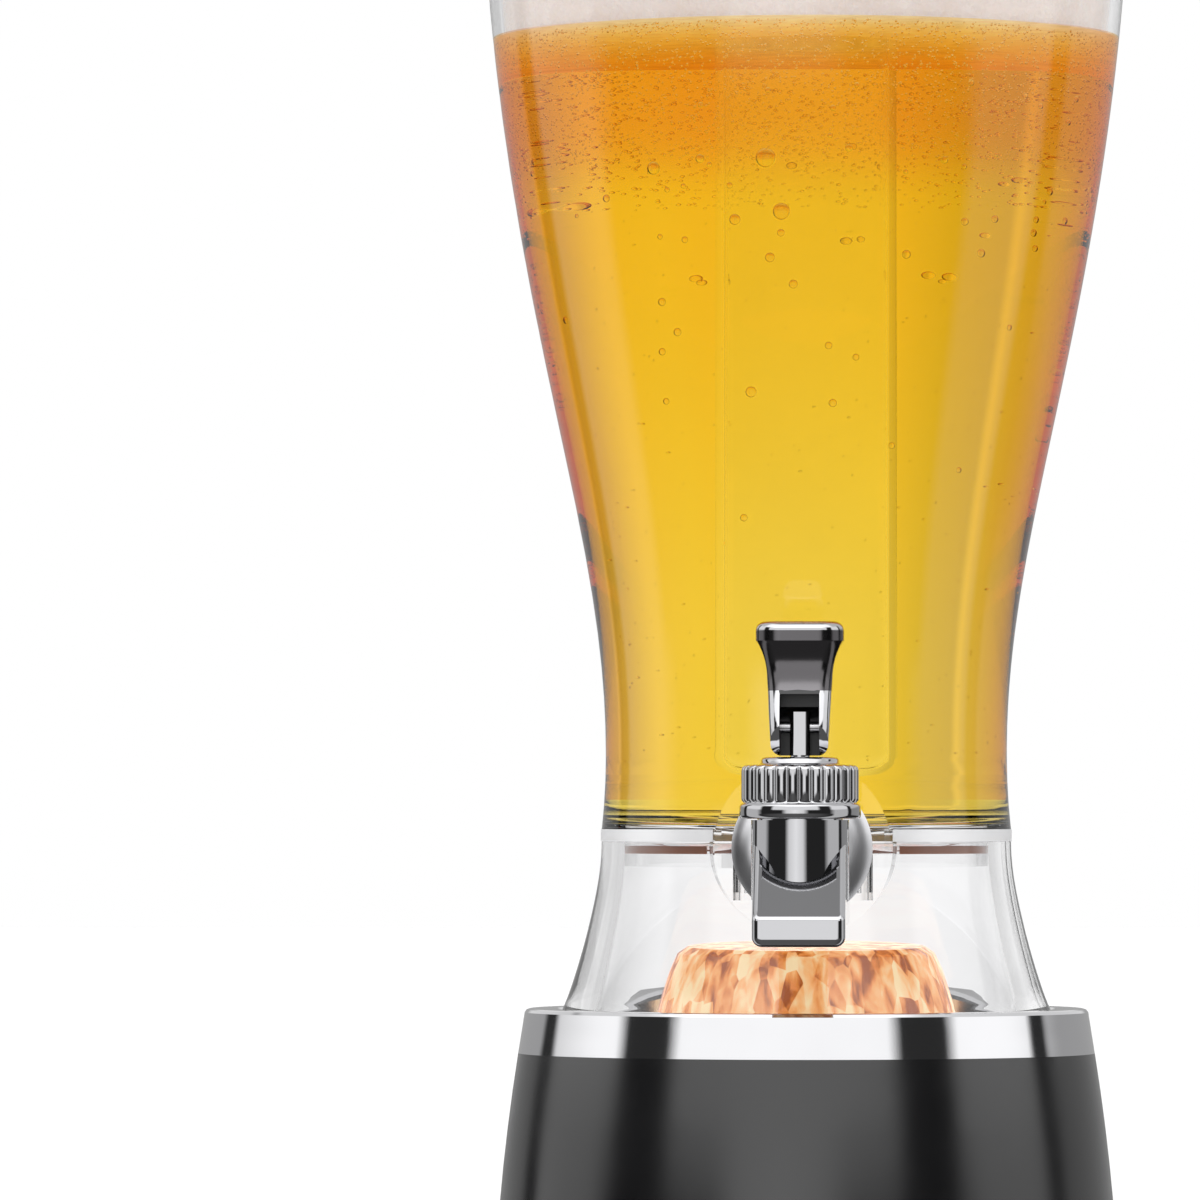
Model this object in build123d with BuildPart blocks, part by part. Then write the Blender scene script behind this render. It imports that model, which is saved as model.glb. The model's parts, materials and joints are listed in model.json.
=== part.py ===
from build123d import *
from math import atan2, cos, degrees, radians, sin, sqrt
import os

# Beer tap tower: a table dispenser with a lit pedestal, a clear hourglass vessel and one tap.
# Millimetres. Z is up, the vessel's axis is the Z axis, the table is z = 0 and the tap points to -Y.

os.makedirs("parts", exist_ok=True)

# ---------------------------------------------------------------- driving dimensions
MAT_R = 80.0
MAT_T = 2.0
PLATE_T = 3.0
PLATE_TOP = MAT_T + PLATE_T

BASE_FOOT_R = 84.6
BASE_MID_R = 82.5
BASE_TOP_R = 77.7
BASE_FOOT_Z = 1.0
BASE_MID_Z = 63.5
DECK_Z = 102.0
BASE_WALL = 3.0

RING_TOP = 114.0
RING_TOP_R = 75.8
RING_WALL = 2.2

SKIRT_FOOT_R = 67.0
SKIRT_FOOT_IN = 57.6
SKIRT_TOP = 159.0
SKIRT_TOP_R = 55.2
SKIRT_TOP_IN = 49.2

BAND_TOP = 162.3
WAIST_R = 54.1
WAIST_Z = 180.4
RIM_Z = 430.0
RIM_R = 87.6
VESSEL_WALL = 3.2

TAP_Z = 157.4          # height of the shank
PAD_R = 23.5
PAD_FACE = 58.5        # distance of the pad's face in front of the vessel's axis
VALVE_Y = 87.0         # distance of the valve's axis in front of the vessel's axis
SHANK_R = 8.0
STEM_R = 2.6
STEM_FIT = 0.06
BONNET_TOP = 181.2
PIN_Z = 189.0
PIN_R = 1.5
LEVER_SWING = 75.0     # degrees
STEM_LIFT = 4.5
CAM_GAP = 0.3
SEAT_Z = 149.0

TUBE_R = 18.3
TUBE_WALL = 2.0
TUBE_FOOT_Z = 176.0
LID_GAP = 0.3
LID_EDGE_R = 88.8
LID_CROWN_Z = 441.0

BATTERY_R = 5.25
BATTERY_L = 44.5
BATTERY_Y = 46.0
BATTERY_PITCH = 11.5

BUTTON_Z = 50.0
BUTTON_R = 7.0

SCREW_R = 1.5
SCREW_HEAD_R = 3.0


# ---------------------------------------------------------------- shared shapes
def ring(outer, bottom, top, inner=0.0, mode=Mode.ADD):
    """A flat ring or disc about the Z axis."""
    with BuildSketch(Plane.XY.offset(bottom)) as outline:
        Circle(outer)
        if inner > 0:
            Circle(inner, mode=Mode.SUBTRACT)
    extrude(outline.sketch, amount=top - bottom, mode=mode)


def post(radius, bottom, top, x=0.0, y=0.0, inner=0.0, mode=Mode.ADD):
    """An upright cylinder or tube away from the Z axis."""
    with BuildSketch(Plane.XY.offset(bottom)) as outline:
        with Locations((x, y)):
            Circle(radius)
            if inner > 0:
                Circle(inner, mode=Mode.SUBTRACT)
    extrude(outline.sketch, amount=top - bottom, mode=mode)


def bar(radius, near, far, height=TAP_Z, inner=0.0, mode=Mode.ADD):
    """A cylinder or tube that lies along Y, between two distances in front of the vessel's axis."""
    with BuildSketch(Plane.XZ.offset(near)) as outline:
        with Locations((0, height)):
            Circle(radius)
            if inner > 0:
                Circle(inner, mode=Mode.SUBTRACT)
    extrude(outline.sketch, amount=far - near, mode=mode)


def block(width, depth, bottom, top, y=0.0, corner=0.0, mode=Mode.ADD):
    """An upright block centred on the YZ plane, with rounded upright corners."""
    with BuildSketch(Plane.XY.offset(bottom)) as outline:
        with Locations((0, y)):
            if corner > 0:
                RectangleRounded(width, depth, corner)
            else:
                Rectangle(width, depth)
    extrude(outline.sketch, amount=top - bottom, mode=mode)


def side_plate(points, half_width, mode=Mode.ADD):
    """A plate parallel to YZ and centred on it; the points are (distance in front, height)."""
    with BuildSketch(Plane.YZ) as outline:
        with BuildLine():
            Polyline(*[(-front, height) for front, height in points], close=True)
        make_face()
    extrude(outline.sketch, amount=half_width, both=True, mode=mode)


def turned(points, mode=Mode.ADD):
    """A body turned about the Z axis from a closed outline of (radius, height) points."""
    with BuildSketch(Plane.XZ) as outline:
        with BuildLine():
            Polyline(*points, close=True)
        make_face()
    revolve(outline.sketch, axis=Axis.Z, mode=mode)


def around(count, radius, start=0.0):
    """Places evenly spaced on a circle about the Z axis."""
    turns = [radians(start + 360 * i / count) for i in range(count)]
    return [(radius * cos(turn), radius * sin(turn)) for turn in turns]


def screws_up(places, head_bottom, seat, tip):
    """Screws that point up: a head below its seat, and a shank up to its tip."""
    for x, y in places:
        post(SCREW_HEAD_R, head_bottom, seat, x, y)
        post(SCREW_R, seat, tip, x, y)


# ---------------------------------------------------------------- base
PLATE_SCREWS = around(4, 74.0, start=45)
SKIRT_SCREWS = around(3, 62.3, start=90)
HOLDER = (57.0, 39.0)
HOLDER_TOP = PLATE_TOP + 15.0
DOOR = (53.0, 35.0)
DOOR_GAP = 0.3

with BuildPart() as non_slip_mat:
    ring(MAT_R, 0, MAT_T)
    block(DOOR[0] + 8, DOOR[1] + 8, 0, MAT_T, y=BATTERY_Y, corner=4, mode=Mode.SUBTRACT)
    for x, y in PLATE_SCREWS:
        post(SCREW_HEAD_R + 1, 0, MAT_T, x, y, mode=Mode.SUBTRACT)
non_slip_mat.part.label = "non_slip_mat"

with BuildPart() as bottom_plate:
    ring(BASE_FOOT_R - BASE_WALL - 0.6, MAT_T, PLATE_TOP)
    block(*DOOR, MAT_T, PLATE_TOP, y=BATTERY_Y, corner=2, mode=Mode.SUBTRACT)
    for x, y in PLATE_SCREWS:
        post(SCREW_R + 0.2, MAT_T, PLATE_TOP, x, y, mode=Mode.SUBTRACT)
        post(SCREW_HEAD_R + 0.2, MAT_T, MAT_T + 1.6, x, y, mode=Mode.SUBTRACT)
bottom_plate.part.label = "bottom_plate"

with BuildPart() as base_screws:
    screws_up(PLATE_SCREWS, MAT_T + 0.2, MAT_T + 1.6, PLATE_TOP + 14)
base_screws.part.label = "base_screws"

with BuildPart() as base_shell:
    with BuildSketch(Plane.XZ) as shell_outline:
        with BuildLine():
            ThreePointArc((BASE_FOOT_R, BASE_FOOT_Z), (BASE_MID_R, BASE_MID_Z), (BASE_TOP_R, DECK_Z))
            Line((BASE_TOP_R, DECK_Z), (0, DECK_Z))
            Line((0, DECK_Z), (0, DECK_Z - BASE_WALL))
            Line((0, DECK_Z - BASE_WALL), (BASE_TOP_R - BASE_WALL, DECK_Z - BASE_WALL))
            ThreePointArc(
                (BASE_TOP_R - BASE_WALL, DECK_Z - BASE_WALL),
                (BASE_MID_R - BASE_WALL, BASE_MID_Z),
                (BASE_FOOT_R - BASE_WALL, BASE_FOOT_Z),
            )
            Line((BASE_FOOT_R - BASE_WALL, BASE_FOOT_Z), (BASE_FOOT_R, BASE_FOOT_Z))
        make_face()
    revolve(axis=Axis.Z)
    # screw posts, each tied to the wall by a rib
    for x, y in PLATE_SCREWS:
        post(4.5, PLATE_TOP, PLATE_TOP + 30, x, y)
        with BuildSketch(Plane.XY.offset(PLATE_TOP)) as rib:
            with Locations((x * 1.05, y * 1.05)):
                Rectangle(9, 3, rotation=degrees(atan2(y, x)))
        extrude(rib.sketch, amount=30)
    for x, y in PLATE_SCREWS:
        post(SCREW_R, PLATE_TOP, PLATE_TOP + 16, x, y, mode=Mode.SUBTRACT)
    # seat of the light, skirt screws and the tube that guides the button
    ring(46.4, DECK_Z - BASE_WALL, DECK_Z, mode=Mode.SUBTRACT)
    for x, y in SKIRT_SCREWS:
        post(SCREW_R + 0.1, DECK_Z - BASE_WALL, DECK_Z, x, y, mode=Mode.SUBTRACT)
    bar(BUTTON_R + 3, -BASE_MID_R + 1, -76.0, BUTTON_Z)
    bar(BUTTON_R + 0.3, -BASE_FOOT_R, -70.0, BUTTON_Z, mode=Mode.SUBTRACT)
base_shell.part.label = "base_shell"

with BuildPart() as base_trim_ring:
    slope = (BASE_TOP_R - RING_TOP_R) / (RING_TOP - DECK_Z)
    foot_in = SKIRT_FOOT_R + 0.2
    turned([
        (BASE_TOP_R, DECK_Z),
        (RING_TOP_R + slope, RING_TOP - 1.0),
        (RING_TOP_R - 0.4, RING_TOP - 0.25),
        (RING_TOP_R - 1.2, RING_TOP),
        (foot_in + 0.6, RING_TOP),
        (foot_in, RING_TOP - 0.6),
        (foot_in, DECK_Z),
        (foot_in + RING_WALL, DECK_Z),
        (foot_in + RING_WALL, RING_TOP - RING_WALL),
        (RING_TOP_R - RING_WALL, RING_TOP - RING_WALL),
        (BASE_TOP_R - RING_WALL, DECK_Z),
    ])
base_trim_ring.part.label = "base_trim_ring"

# ---------------------------------------------------------------- batteries, button
with BuildPart() as battery_holder:
    block(*HOLDER, PLATE_TOP, HOLDER_TOP, y=BATTERY_Y, corner=2)
    block(HOLDER[0] - 3, HOLDER[1] - 3, PLATE_TOP, HOLDER_TOP - 1.5, y=BATTERY_Y, corner=1, mode=Mode.SUBTRACT)
    for side in (-1, 1):
        post(0.9, HOLDER_TOP - 2, HOLDER_TOP, side * 6, BATTERY_Y, mode=Mode.SUBTRACT)
battery_holder.part.label = "battery_holder"

with BuildPart() as batteries:
    for i in (-1, 0, 1):
        with BuildSketch(Plane.YZ) as cell:
            with Locations((BATTERY_Y + i * BATTERY_PITCH, PLATE_TOP + 6.6)):
                Circle(BATTERY_R)
        extrude(cell.sketch, amount=BATTERY_L / 2 - 0.5, both=True)
        with BuildSketch(Plane.YZ) as terminal:
            with Locations((BATTERY_Y + i * BATTERY_PITCH, PLATE_TOP + 6.6)):
                Circle(1.9)
        extrude(terminal.sketch, amount=BATTERY_L / 2, both=True)
batteries.part.label = "batteries"

with BuildPart() as battery_contacts:
    contact_x = (HOLDER[0] - 3) / 2 - 0.3
    for side in (-1, 1):
        for i in (-1, 0, 1):
            with Locations((side * contact_x, BATTERY_Y + i * BATTERY_PITCH, PLATE_TOP + 6.6)):
                Box(0.6, 8, 9)
            with Locations((side * (contact_x - 1.9), BATTERY_Y + i * BATTERY_PITCH, PLATE_TOP + 6.6)):
                Box(3.2, 2.4, 1.0)
battery_contacts.part.label = "battery_contacts"

with BuildPart() as battery_door:
    block(DOOR[0] - 2 * DOOR_GAP, DOOR[1] - 2 * DOOR_GAP, MAT_T, PLATE_TOP, y=BATTERY_Y, corner=2)
    post(SCREW_R + 0.2, MAT_T, PLATE_TOP, 0, BATTERY_Y + DOOR[1] / 2 - 4, mode=Mode.SUBTRACT)
    post(SCREW_HEAD_R + 0.2, MAT_T, MAT_T + 1.6, 0, BATTERY_Y + DOOR[1] / 2 - 4, mode=Mode.SUBTRACT)
    for i in range(5):
        with Locations((0, BATTERY_Y - DOOR[1] / 2 + 5 + 2 * i, MAT_T)):
            Box(16, 0.9, 0.8, mode=Mode.SUBTRACT)
battery_door.part.label = "battery_door"

with BuildPart() as battery_door_screw:
    screws_up([(0, BATTERY_Y + DOOR[1] / 2 - 4)], MAT_T + 0.2, MAT_T + 1.6, PLATE_TOP + 0.9)
battery_door_screw.part.label = "battery_door_screw"

BUTTON_BACK = 84.8       # how far behind the axis the button's face stands
with BuildPart() as power_button:
    bar(BUTTON_R, -BUTTON_BACK, -74.0, BUTTON_Z)
    bar(BUTTON_R + 1.6, -75.6, -74.0, BUTTON_Z)
    bar(2.2, -74.0, -69.5, BUTTON_Z)
    with Locations((0, BUTTON_BACK, BUTTON_Z)):
        Box(1.2, 1.0, 6.0, mode=Mode.SUBTRACT)
power_button.part.label = "power_button"

with BuildPart() as switch_body:
    with Locations((0, 60.0, BUTTON_Z)):
        Box(20, 12, 20)
    bar(2.6, -66.0, -60.0, BUTTON_Z, mode=Mode.SUBTRACT)
    for side in (-1, 1):
        with Locations((side * 12.5, 70.2, BUTTON_Z)):
            Box(3, 16, 12)
        with Locations((side * 10.5, 63.0, BUTTON_Z)):
            Box(6, 6, 12)
switch_body.part.label = "switch_body"

with BuildPart() as button_spring:
    with BuildLine() as button_coil:
        Helix(pitch=1.75, height=7.0, radius=4.2, center=(0, 66.4, BUTTON_Z), direction=(0, 1, 0))
    with BuildSketch(Plane(origin=button_coil.line @ 0, z_dir=button_coil.line % 0)):
        Circle(0.35)
    sweep()
button_spring.part.label = "button_spring"

# ---------------------------------------------------------------- light
with BuildPart() as led_housing:
    ring(50.0, DECK_Z, DECK_Z + 2)
    ring(46.2, DECK_Z - 16, DECK_Z)
    ring(44.0, DECK_Z - 14, DECK_Z + 2, mode=Mode.SUBTRACT)
    post(2.2, DECK_Z - 16, DECK_Z - 14, 0, 30, mode=Mode.SUBTRACT)
led_housing.part.label = "led_housing"

BOARD_Z = DECK_Z - 9.0
with BuildPart() as led_board:
    ring(41.0, BOARD_Z, BOARD_Z + 1.6)
    for x, y in around(3, 37.0):
        post(2.4, DECK_Z - 14, BOARD_Z, x, y)
led_board.part.label = "led_board"

with BuildPart() as leds:
    for x, y in around(12, 27.0) + around(6, 12.0):
        post(2.5, BOARD_Z + 1.6, BOARD_Z + 7.0, x, y)
        with Locations((x, y, BOARD_Z + 7.0)):
            Sphere(2.5)
leds.part.label = "leds"

DOME_FOOT_R = 43.4
DOME_TOP_R = 31.0
DOME_TOP_Z = 130.7
with BuildPart() as led_dome:
    with BuildSketch(Plane.XZ) as dome_outline:
        with BuildLine():
            Polyline((DOME_FOOT_R, DECK_Z - 4), (DOME_FOOT_R, 113.0), (39.6, 124.0))
            ThreePointArc((39.6, 124.0), (36.6, 129.0), (DOME_TOP_R, DOME_TOP_Z))
            Polyline(
                (DOME_TOP_R, DOME_TOP_Z),
                (0, DOME_TOP_Z + 0.6),
                (0, DOME_TOP_Z - 2.0),
                (29.5, DOME_TOP_Z - 2.6),
                (37.0, 122.5),
                (DOME_FOOT_R - 2.6, 112.4),
                (DOME_FOOT_R - 2.6, DECK_Z - 4),
                (DOME_FOOT_R, DECK_Z - 4),
            )
        make_face()
    revolve(axis=Axis.Z)
led_dome.part.label = "led_dome"

with BuildPart() as lead_wires:
    for side in (-1, 1):
        with BuildLine() as wire:
            FilletPolyline(
                (side * 6, BATTERY_Y, HOLDER_TOP - 1.5),
                (side * 6, BATTERY_Y, 48.0),
                (side * 1.1, 30.0, 66.0),
                (side * 1.1, 30.0, BOARD_Z),
                radius=10,
            )
        with BuildSketch(Plane(origin=wire.line @ 0, z_dir=wire.line % 0)):
            Circle(0.8)
        sweep()
lead_wires.part.label = "lead_wires"

# ---------------------------------------------------------------- pedestal
with BuildPart() as skirt:
    with BuildSketch(Plane.XZ) as skirt_outline:
        with BuildLine():
            Line((SKIRT_FOOT_R, DECK_Z), (SKIRT_FOOT_R, 111.5))
            Spline(
                (SKIRT_FOOT_R, 111.5), (63.0, 121.0), (57.2, 142.6), (SKIRT_TOP_R, SKIRT_TOP),
                tangents=((-0.6, 1), (0, 1)),
            )
            Line((SKIRT_TOP_R, SKIRT_TOP), (SKIRT_TOP_IN, SKIRT_TOP))
            Spline(
                (SKIRT_TOP_IN, SKIRT_TOP), (50.6, 142.6), (54.7, 121.0), (SKIRT_FOOT_IN, 111.5),
                tangents=((0, -1), (0.5, -1)),
            )
            Line((SKIRT_FOOT_IN, 111.5), (SKIRT_FOOT_IN, DECK_Z))
            Line((SKIRT_FOOT_IN, DECK_Z), (SKIRT_FOOT_R, DECK_Z))
        make_face()
    revolve(axis=Axis.Z)
    bar(PAD_R + 0.3, 40.0, 75.0, mode=Mode.SUBTRACT)
    for x, y in SKIRT_SCREWS:
        post(SCREW_R, DECK_Z, DECK_Z + 10, x, y, mode=Mode.SUBTRACT)
skirt.part.label = "skirt"

with BuildPart() as skirt_screws:
    screws_up(SKIRT_SCREWS, DECK_Z - BASE_WALL - 2.2, DECK_Z - BASE_WALL, DECK_Z + 9)
skirt_screws.part.label = "skirt_screws"

with BuildPart() as trim_band:
    ring(SKIRT_TOP_R + 0.2, SKIRT_TOP, BAND_TOP, inner=SKIRT_TOP_IN)
    with Locations((0, -SKIRT_TOP_R, (SKIRT_TOP + BAND_TOP) / 2)):
        Box(2 * PAD_R + 0.6, 30, 10, mode=Mode.SUBTRACT)
trim_band.part.label = "trim_band"

# ---------------------------------------------------------------- vessel
SPIGOT_R = SKIRT_TOP_IN - 0.2
SPIGOT_FOOT = 152.0
FLOOR_EDGE = 163.0
FLOOR_MID = 160.2
SEAL_BAND = (155.6, 157.8)
OUTER_WALL = [(WAIST_R, WAIST_Z), (57.5, 223.6), (68.2, 277.6), (78.6, 331.6), (85.5, 385.6)]
INNER_WALL = [(radius - VESSEL_WALL, height) for radius, height in OUTER_WALL]
CORNER = (WAIST_R - VESSEL_WALL - 0.1, 168.0)

with BuildPart() as vessel:
    # outside
    with BuildSketch(Plane.XZ) as outside:
        with BuildLine():
            Line((0, 155.3), (0, RIM_Z))
            Line((0, RIM_Z), (RIM_R + 1, RIM_Z))
            Line((RIM_R + 1, RIM_Z), (RIM_R + 1, RIM_Z - 3))
            Line((RIM_R + 1, RIM_Z - 3), (RIM_R, RIM_Z - 4))
            Spline((RIM_R, RIM_Z - 4), *reversed(OUTER_WALL), (SKIRT_TOP_R, BAND_TOP))
            Polyline(
                (SKIRT_TOP_R, BAND_TOP),
                (SPIGOT_R, BAND_TOP),
                (SPIGOT_R, SPIGOT_FOOT),
                (SPIGOT_R - 3, SPIGOT_FOOT),
                (SPIGOT_R - 3, 158.4),
                (42.0, 158.4),
            )
            ThreePointArc((42.0, 158.4), (22.0, 156.1), (0, 155.3))
        make_face()
    revolve(axis=Axis.Z)
    # pad that carries the tap, and the block under the floor that the sump is cut into
    bar(PAD_R, 44.0, PAD_FACE)
    block(37, 27, 143.5, 162.0, y=-36, corner=5)
    # inside
    with BuildSketch(Plane.XZ) as inside:
        with BuildLine():
            Line((0, FLOOR_MID), (0, RIM_Z + 1))
            Line((0, RIM_Z + 1), (RIM_R - VESSEL_WALL + 0.2, RIM_Z + 1))
            Line((RIM_R - VESSEL_WALL + 0.2, RIM_Z + 1), (RIM_R - VESSEL_WALL, RIM_Z - 4))
            Spline((RIM_R - VESSEL_WALL, RIM_Z - 4), *reversed(INNER_WALL), CORNER)
            ThreePointArc(CORNER, (49.6, 164.4), (45.8, FLOOR_EDGE))
            ThreePointArc((45.8, FLOOR_EDGE), (24.0, 161.0), (0, FLOOR_MID))
        make_face()
    revolve(inside.sketch, axis=Axis.Z, mode=Mode.SUBTRACT)
    # flat seat for the inner gasket, sump and the shank's hole
    bar(14.5, 47.0, 53.0)
    block(31, 22, 145.4, 170.0, y=-36, corner=3, mode=Mode.SUBTRACT)
    bar(SHANK_R + 0.05, 44.0, PAD_FACE, mode=Mode.SUBTRACT)
    ring(SPIGOT_R + 0.5, *SEAL_BAND, inner=SPIGOT_R - 1.4, mode=Mode.SUBTRACT)
vessel.part.label = "vessel"

with BuildPart() as vessel_seal:
    ring(SPIGOT_R, *SEAL_BAND, inner=SPIGOT_R - 1.4)
    with Locations((0, -SPIGOT_R, TAP_Z)):
        Box(2 * PAD_R + 2, 34, 10, mode=Mode.SUBTRACT)
vessel_seal.part.label = "vessel_seal"

# ---------------------------------------------------------------- tap
GASKET_FRONT = PAD_FACE + 1.5
FLANGE_FRONT = GASKET_FRONT + 4.0

with BuildPart() as outer_gasket:
    bar(17.4, PAD_FACE, GASKET_FRONT, inner=SHANK_R + 0.05)
outer_gasket.part.label = "outer_gasket"

with BuildPart() as escutcheon:
    with BuildSketch(Plane.YZ) as dish:
        with BuildLine():
            Polyline(
                (-GASKET_FRONT, TAP_Z + SHANK_R + 0.05),
                (-GASKET_FRONT, TAP_Z + 18.6),
                (-GASKET_FRONT - 1.2, TAP_Z + 18.6),
            )
            ThreePointArc(
                (-GASKET_FRONT - 1.2, TAP_Z + 18.6),
                (-GASKET_FRONT - 3.1, TAP_Z + 15.6),
                (-FLANGE_FRONT, TAP_Z + 11.0),
            )
            Polyline(
                (-FLANGE_FRONT, TAP_Z + 11.0),
                (-FLANGE_FRONT, TAP_Z + SHANK_R + 0.05),
                (-GASKET_FRONT, TAP_Z + SHANK_R + 0.05),
            )
        make_face()
    revolve(axis=Axis((0, 0, TAP_Z), (0, 1, 0)))
escutcheon.part.label = "escutcheon"

# the spout's sloping top, seen from the side as (distance in front, height)
SLOPE_BACK = (93.0, 158.4)
SLOPE_FRONT = (110.2, 140.3)
SPOUT_HALF = 12.1
LIP_FOOT = 131.9
BARREL_R = 12.8
BARREL_TOP = 164.8
CHAMBER_R = 8.6

with BuildPart() as tap_body:
    side_plate([
        (VALVE_Y - 4, 158.4),
        SLOPE_BACK,
        (SLOPE_FRONT[0] + 0.9, SLOPE_FRONT[1] - 0.95),
        (SLOPE_FRONT[0] + 0.9, LIP_FOOT),
        (96.0, LIP_FOOT),
        (VALVE_Y - 4, 143.0),
    ], SPOUT_HALF)
    lip_corners = [
        edge for edge in tap_body.edges().filter_by(Axis.Y) if edge.center().Z < LIP_FOOT + 0.1
    ]
    fillet(lip_corners, 2.6)
    lip_front = tap_body.faces().filter_by(Axis.Y).sort_by(Axis.Y)[0]
    fillet(lip_front.edges(), 2.0)
    slope_edges = [
        edge for edge in tap_body.edges()
        if abs(edge.center().X) > SPOUT_HALF - 0.1 and SLOPE_FRONT[1] + 4 < edge.center().Z < SLOPE_BACK[1] - 4
    ]
    fillet(slope_edges, 1.8)
    # shallow recess in the sloping top, between the side walls
    recess = 1.3
    side_plate([
        (SLOPE_BACK[0] - recess, SLOPE_BACK[1] - recess + 4),
        (SLOPE_BACK[0] - recess, SLOPE_BACK[1] - recess),
        (SLOPE_FRONT[0] - recess - 1.0, SLOPE_FRONT[1] - recess + 1.2),
        (SLOPE_FRONT[0] - recess + 0.6, SLOPE_FRONT[1] + 2.6),
        (SLOPE_FRONT[0] + 4, SLOPE_FRONT[1] + 6),
        (SLOPE_FRONT[0] + 4, SLOPE_BACK[1] + 4),
    ], 9.7, mode=Mode.SUBTRACT)
    # barrel, neck and shank
    post(BARREL_R, 144.0, BARREL_TOP, 0, -VALVE_Y)
    post(11.2, BARREL_TOP, BARREL_TOP + 8.2, 0, -VALVE_Y)
    bar(7.2, FLANGE_FRONT, VALVE_Y)
    bar(SHANK_R, 38.0, FLANGE_FRONT)
    # beer's way: shank, chamber, seat, spout
    bar(4.6, 38.0, VALVE_Y, mode=Mode.SUBTRACT)
    post(CHAMBER_R, SEAT_Z, BARREL_TOP + 9, 0, -VALVE_Y, mode=Mode.SUBTRACT)
    side_plate([
        (VALVE_Y - 1, 146.4),
        (VALVE_Y + 12.0, 146.4),
        (107.6, 137.2),
        (107.6, LIP_FOOT - 1),
        (97.4, LIP_FOOT - 1),
        (VALVE_Y - 1, 143.4),
    ], 9.4, mode=Mode.SUBTRACT)
    post(5.0, 144.0, SEAT_Z, 0, -VALVE_Y, mode=Mode.SUBTRACT)
tap_body.part.label = "tap_body"

with BuildPart() as inner_gasket:
    bar(11.7, 45.5, 47.0, inner=SHANK_R + 0.05)
inner_gasket.part.label = "inner_gasket"

with BuildPart() as shank_nut:
    with BuildSketch(Plane.XZ.offset(39.5)):
        with Locations((0, TAP_Z)):
            RegularPolygon(radius=12.8, side_count=6)
            Circle(SHANK_R + 0.05, mode=Mode.SUBTRACT)
    extrude(amount=6.0)
shank_nut.part.label = "shank_nut"

KNURL_R = 15.2
KNURLS = 28
BONNET_IN = 176.4
with BuildPart() as bonnet_nut:
    post(15.9, BARREL_TOP + 0.3, 169.2, 0, -VALVE_Y)
    post(KNURL_R, 169.2, 179.0, 0, -VALVE_Y)
    post(10.2, 179.0, BONNET_TOP, 0, -VALVE_Y)
    groove_depth = 0.7
    with BuildSketch(Plane.XY.offset(169.8)):
        for x, y in around(KNURLS, KNURL_R + 0.2):
            with Locations((x, y - VALVE_Y)):
                Rectangle(2 * groove_depth, 1.5, rotation=degrees(atan2(y, x)))
    extrude(amount=179.0 - 169.8, mode=Mode.SUBTRACT)
    post(11.4, BARREL_TOP + 0.3, BARREL_TOP + 8.6, 0, -VALVE_Y, mode=Mode.SUBTRACT)
    post(CHAMBER_R, BARREL_TOP + 8.6, BONNET_IN, 0, -VALVE_Y, mode=Mode.SUBTRACT)
    post(4.6, BONNET_IN, BONNET_IN + 2.0, 0, -VALVE_Y, mode=Mode.SUBTRACT)
    post(STEM_R + STEM_FIT, BONNET_IN, BONNET_TOP, 0, -VALVE_Y, mode=Mode.SUBTRACT)
bonnet_nut.part.label = "bonnet_nut"

with BuildPart() as stem_seal:
    post(4.6, BONNET_IN, BONNET_IN + 2.0, 0, -VALVE_Y, inner=STEM_R + STEM_FIT)
stem_seal.part.label = "stem_seal"

PLUG_FOOT = SEAT_Z + 0.3
COLLAR_Z = 153.5
with BuildPart() as valve_plug:
    post(6.8, PLUG_FOOT + 1.2, COLLAR_Z, 0, -VALVE_Y)
    with BuildSketch(Plane.XY.offset(PLUG_FOOT)) as plug_foot:
        with Locations((0, -VALVE_Y)):
            Circle(5.8)
    extrude(plug_foot.sketch, amount=1.2)
    post(1.8, COLLAR_Z - 2.6, COLLAR_Z, 0, -VALVE_Y, mode=Mode.SUBTRACT)
valve_plug.part.label = "valve_plug"

BLADE_FOOT = BONNET_TOP + 0.5
with BuildPart() as valve_stem:
    post(1.8, COLLAR_Z - 2.6, COLLAR_Z, 0, -VALVE_Y)
    post(7.4, COLLAR_Z, COLLAR_Z + 1.8, 0, -VALVE_Y)
    post(STEM_R, COLLAR_Z, BLADE_FOOT + 1, 0, -VALVE_Y)
    block(5.2, 5.6, BLADE_FOOT, PIN_Z + 4.0, y=-VALVE_Y, corner=1.2)
    with BuildSketch(Plane.YZ) as pin_hole:
        with Locations((-VALVE_Y, PIN_Z)):
            Circle(PIN_R + 0.05)
    extrude(pin_hole.sketch, amount=5, both=True, mode=Mode.SUBTRACT)
valve_stem.part.label = "valve_stem"

SPRING_FOOT = COLLAR_Z + 1.8
with BuildPart() as valve_spring:
    wire_r = 0.5
    coil_foot = SPRING_FOOT + wire_r + 0.1
    coil_top = BONNET_IN - wire_r - 0.2
    with BuildLine() as valve_coil:
        Helix(pitch=(coil_top - coil_foot) / 6, height=coil_top - coil_foot, radius=6.0,
              center=(0, -VALVE_Y, coil_foot))
    with BuildSketch(Plane(origin=valve_coil.line @ 0, z_dir=valve_coil.line % 0)):
        Circle(wire_r)
    sweep()
valve_spring.part.label = "valve_spring"

# ---------------------------------------------------------------- lever
# The foot is a cam: its lowest point stays CAM_GAP above the bonnet while the pin, and the stem with it,
# rises in proportion to the swing. Such a cam is the involute of a circle whose radius is the lift per radian.
LIFT_PER_RAD = STEM_LIFT / radians(LEVER_SWING)
CAM_REST = PIN_Z - BONNET_TOP - CAM_GAP


def cam_point(turn):
    """The cam's contact point after a turn in radians, as (y, z) in the lever's own rest frame."""
    reach = CAM_REST + LIFT_PER_RAD * turn
    y = -reach * sin(turn) - LIFT_PER_RAD * cos(turn)
    z = -reach * cos(turn) + LIFT_PER_RAD * sin(turn)
    return (y - VALVE_Y, z + PIN_Z)


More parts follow.
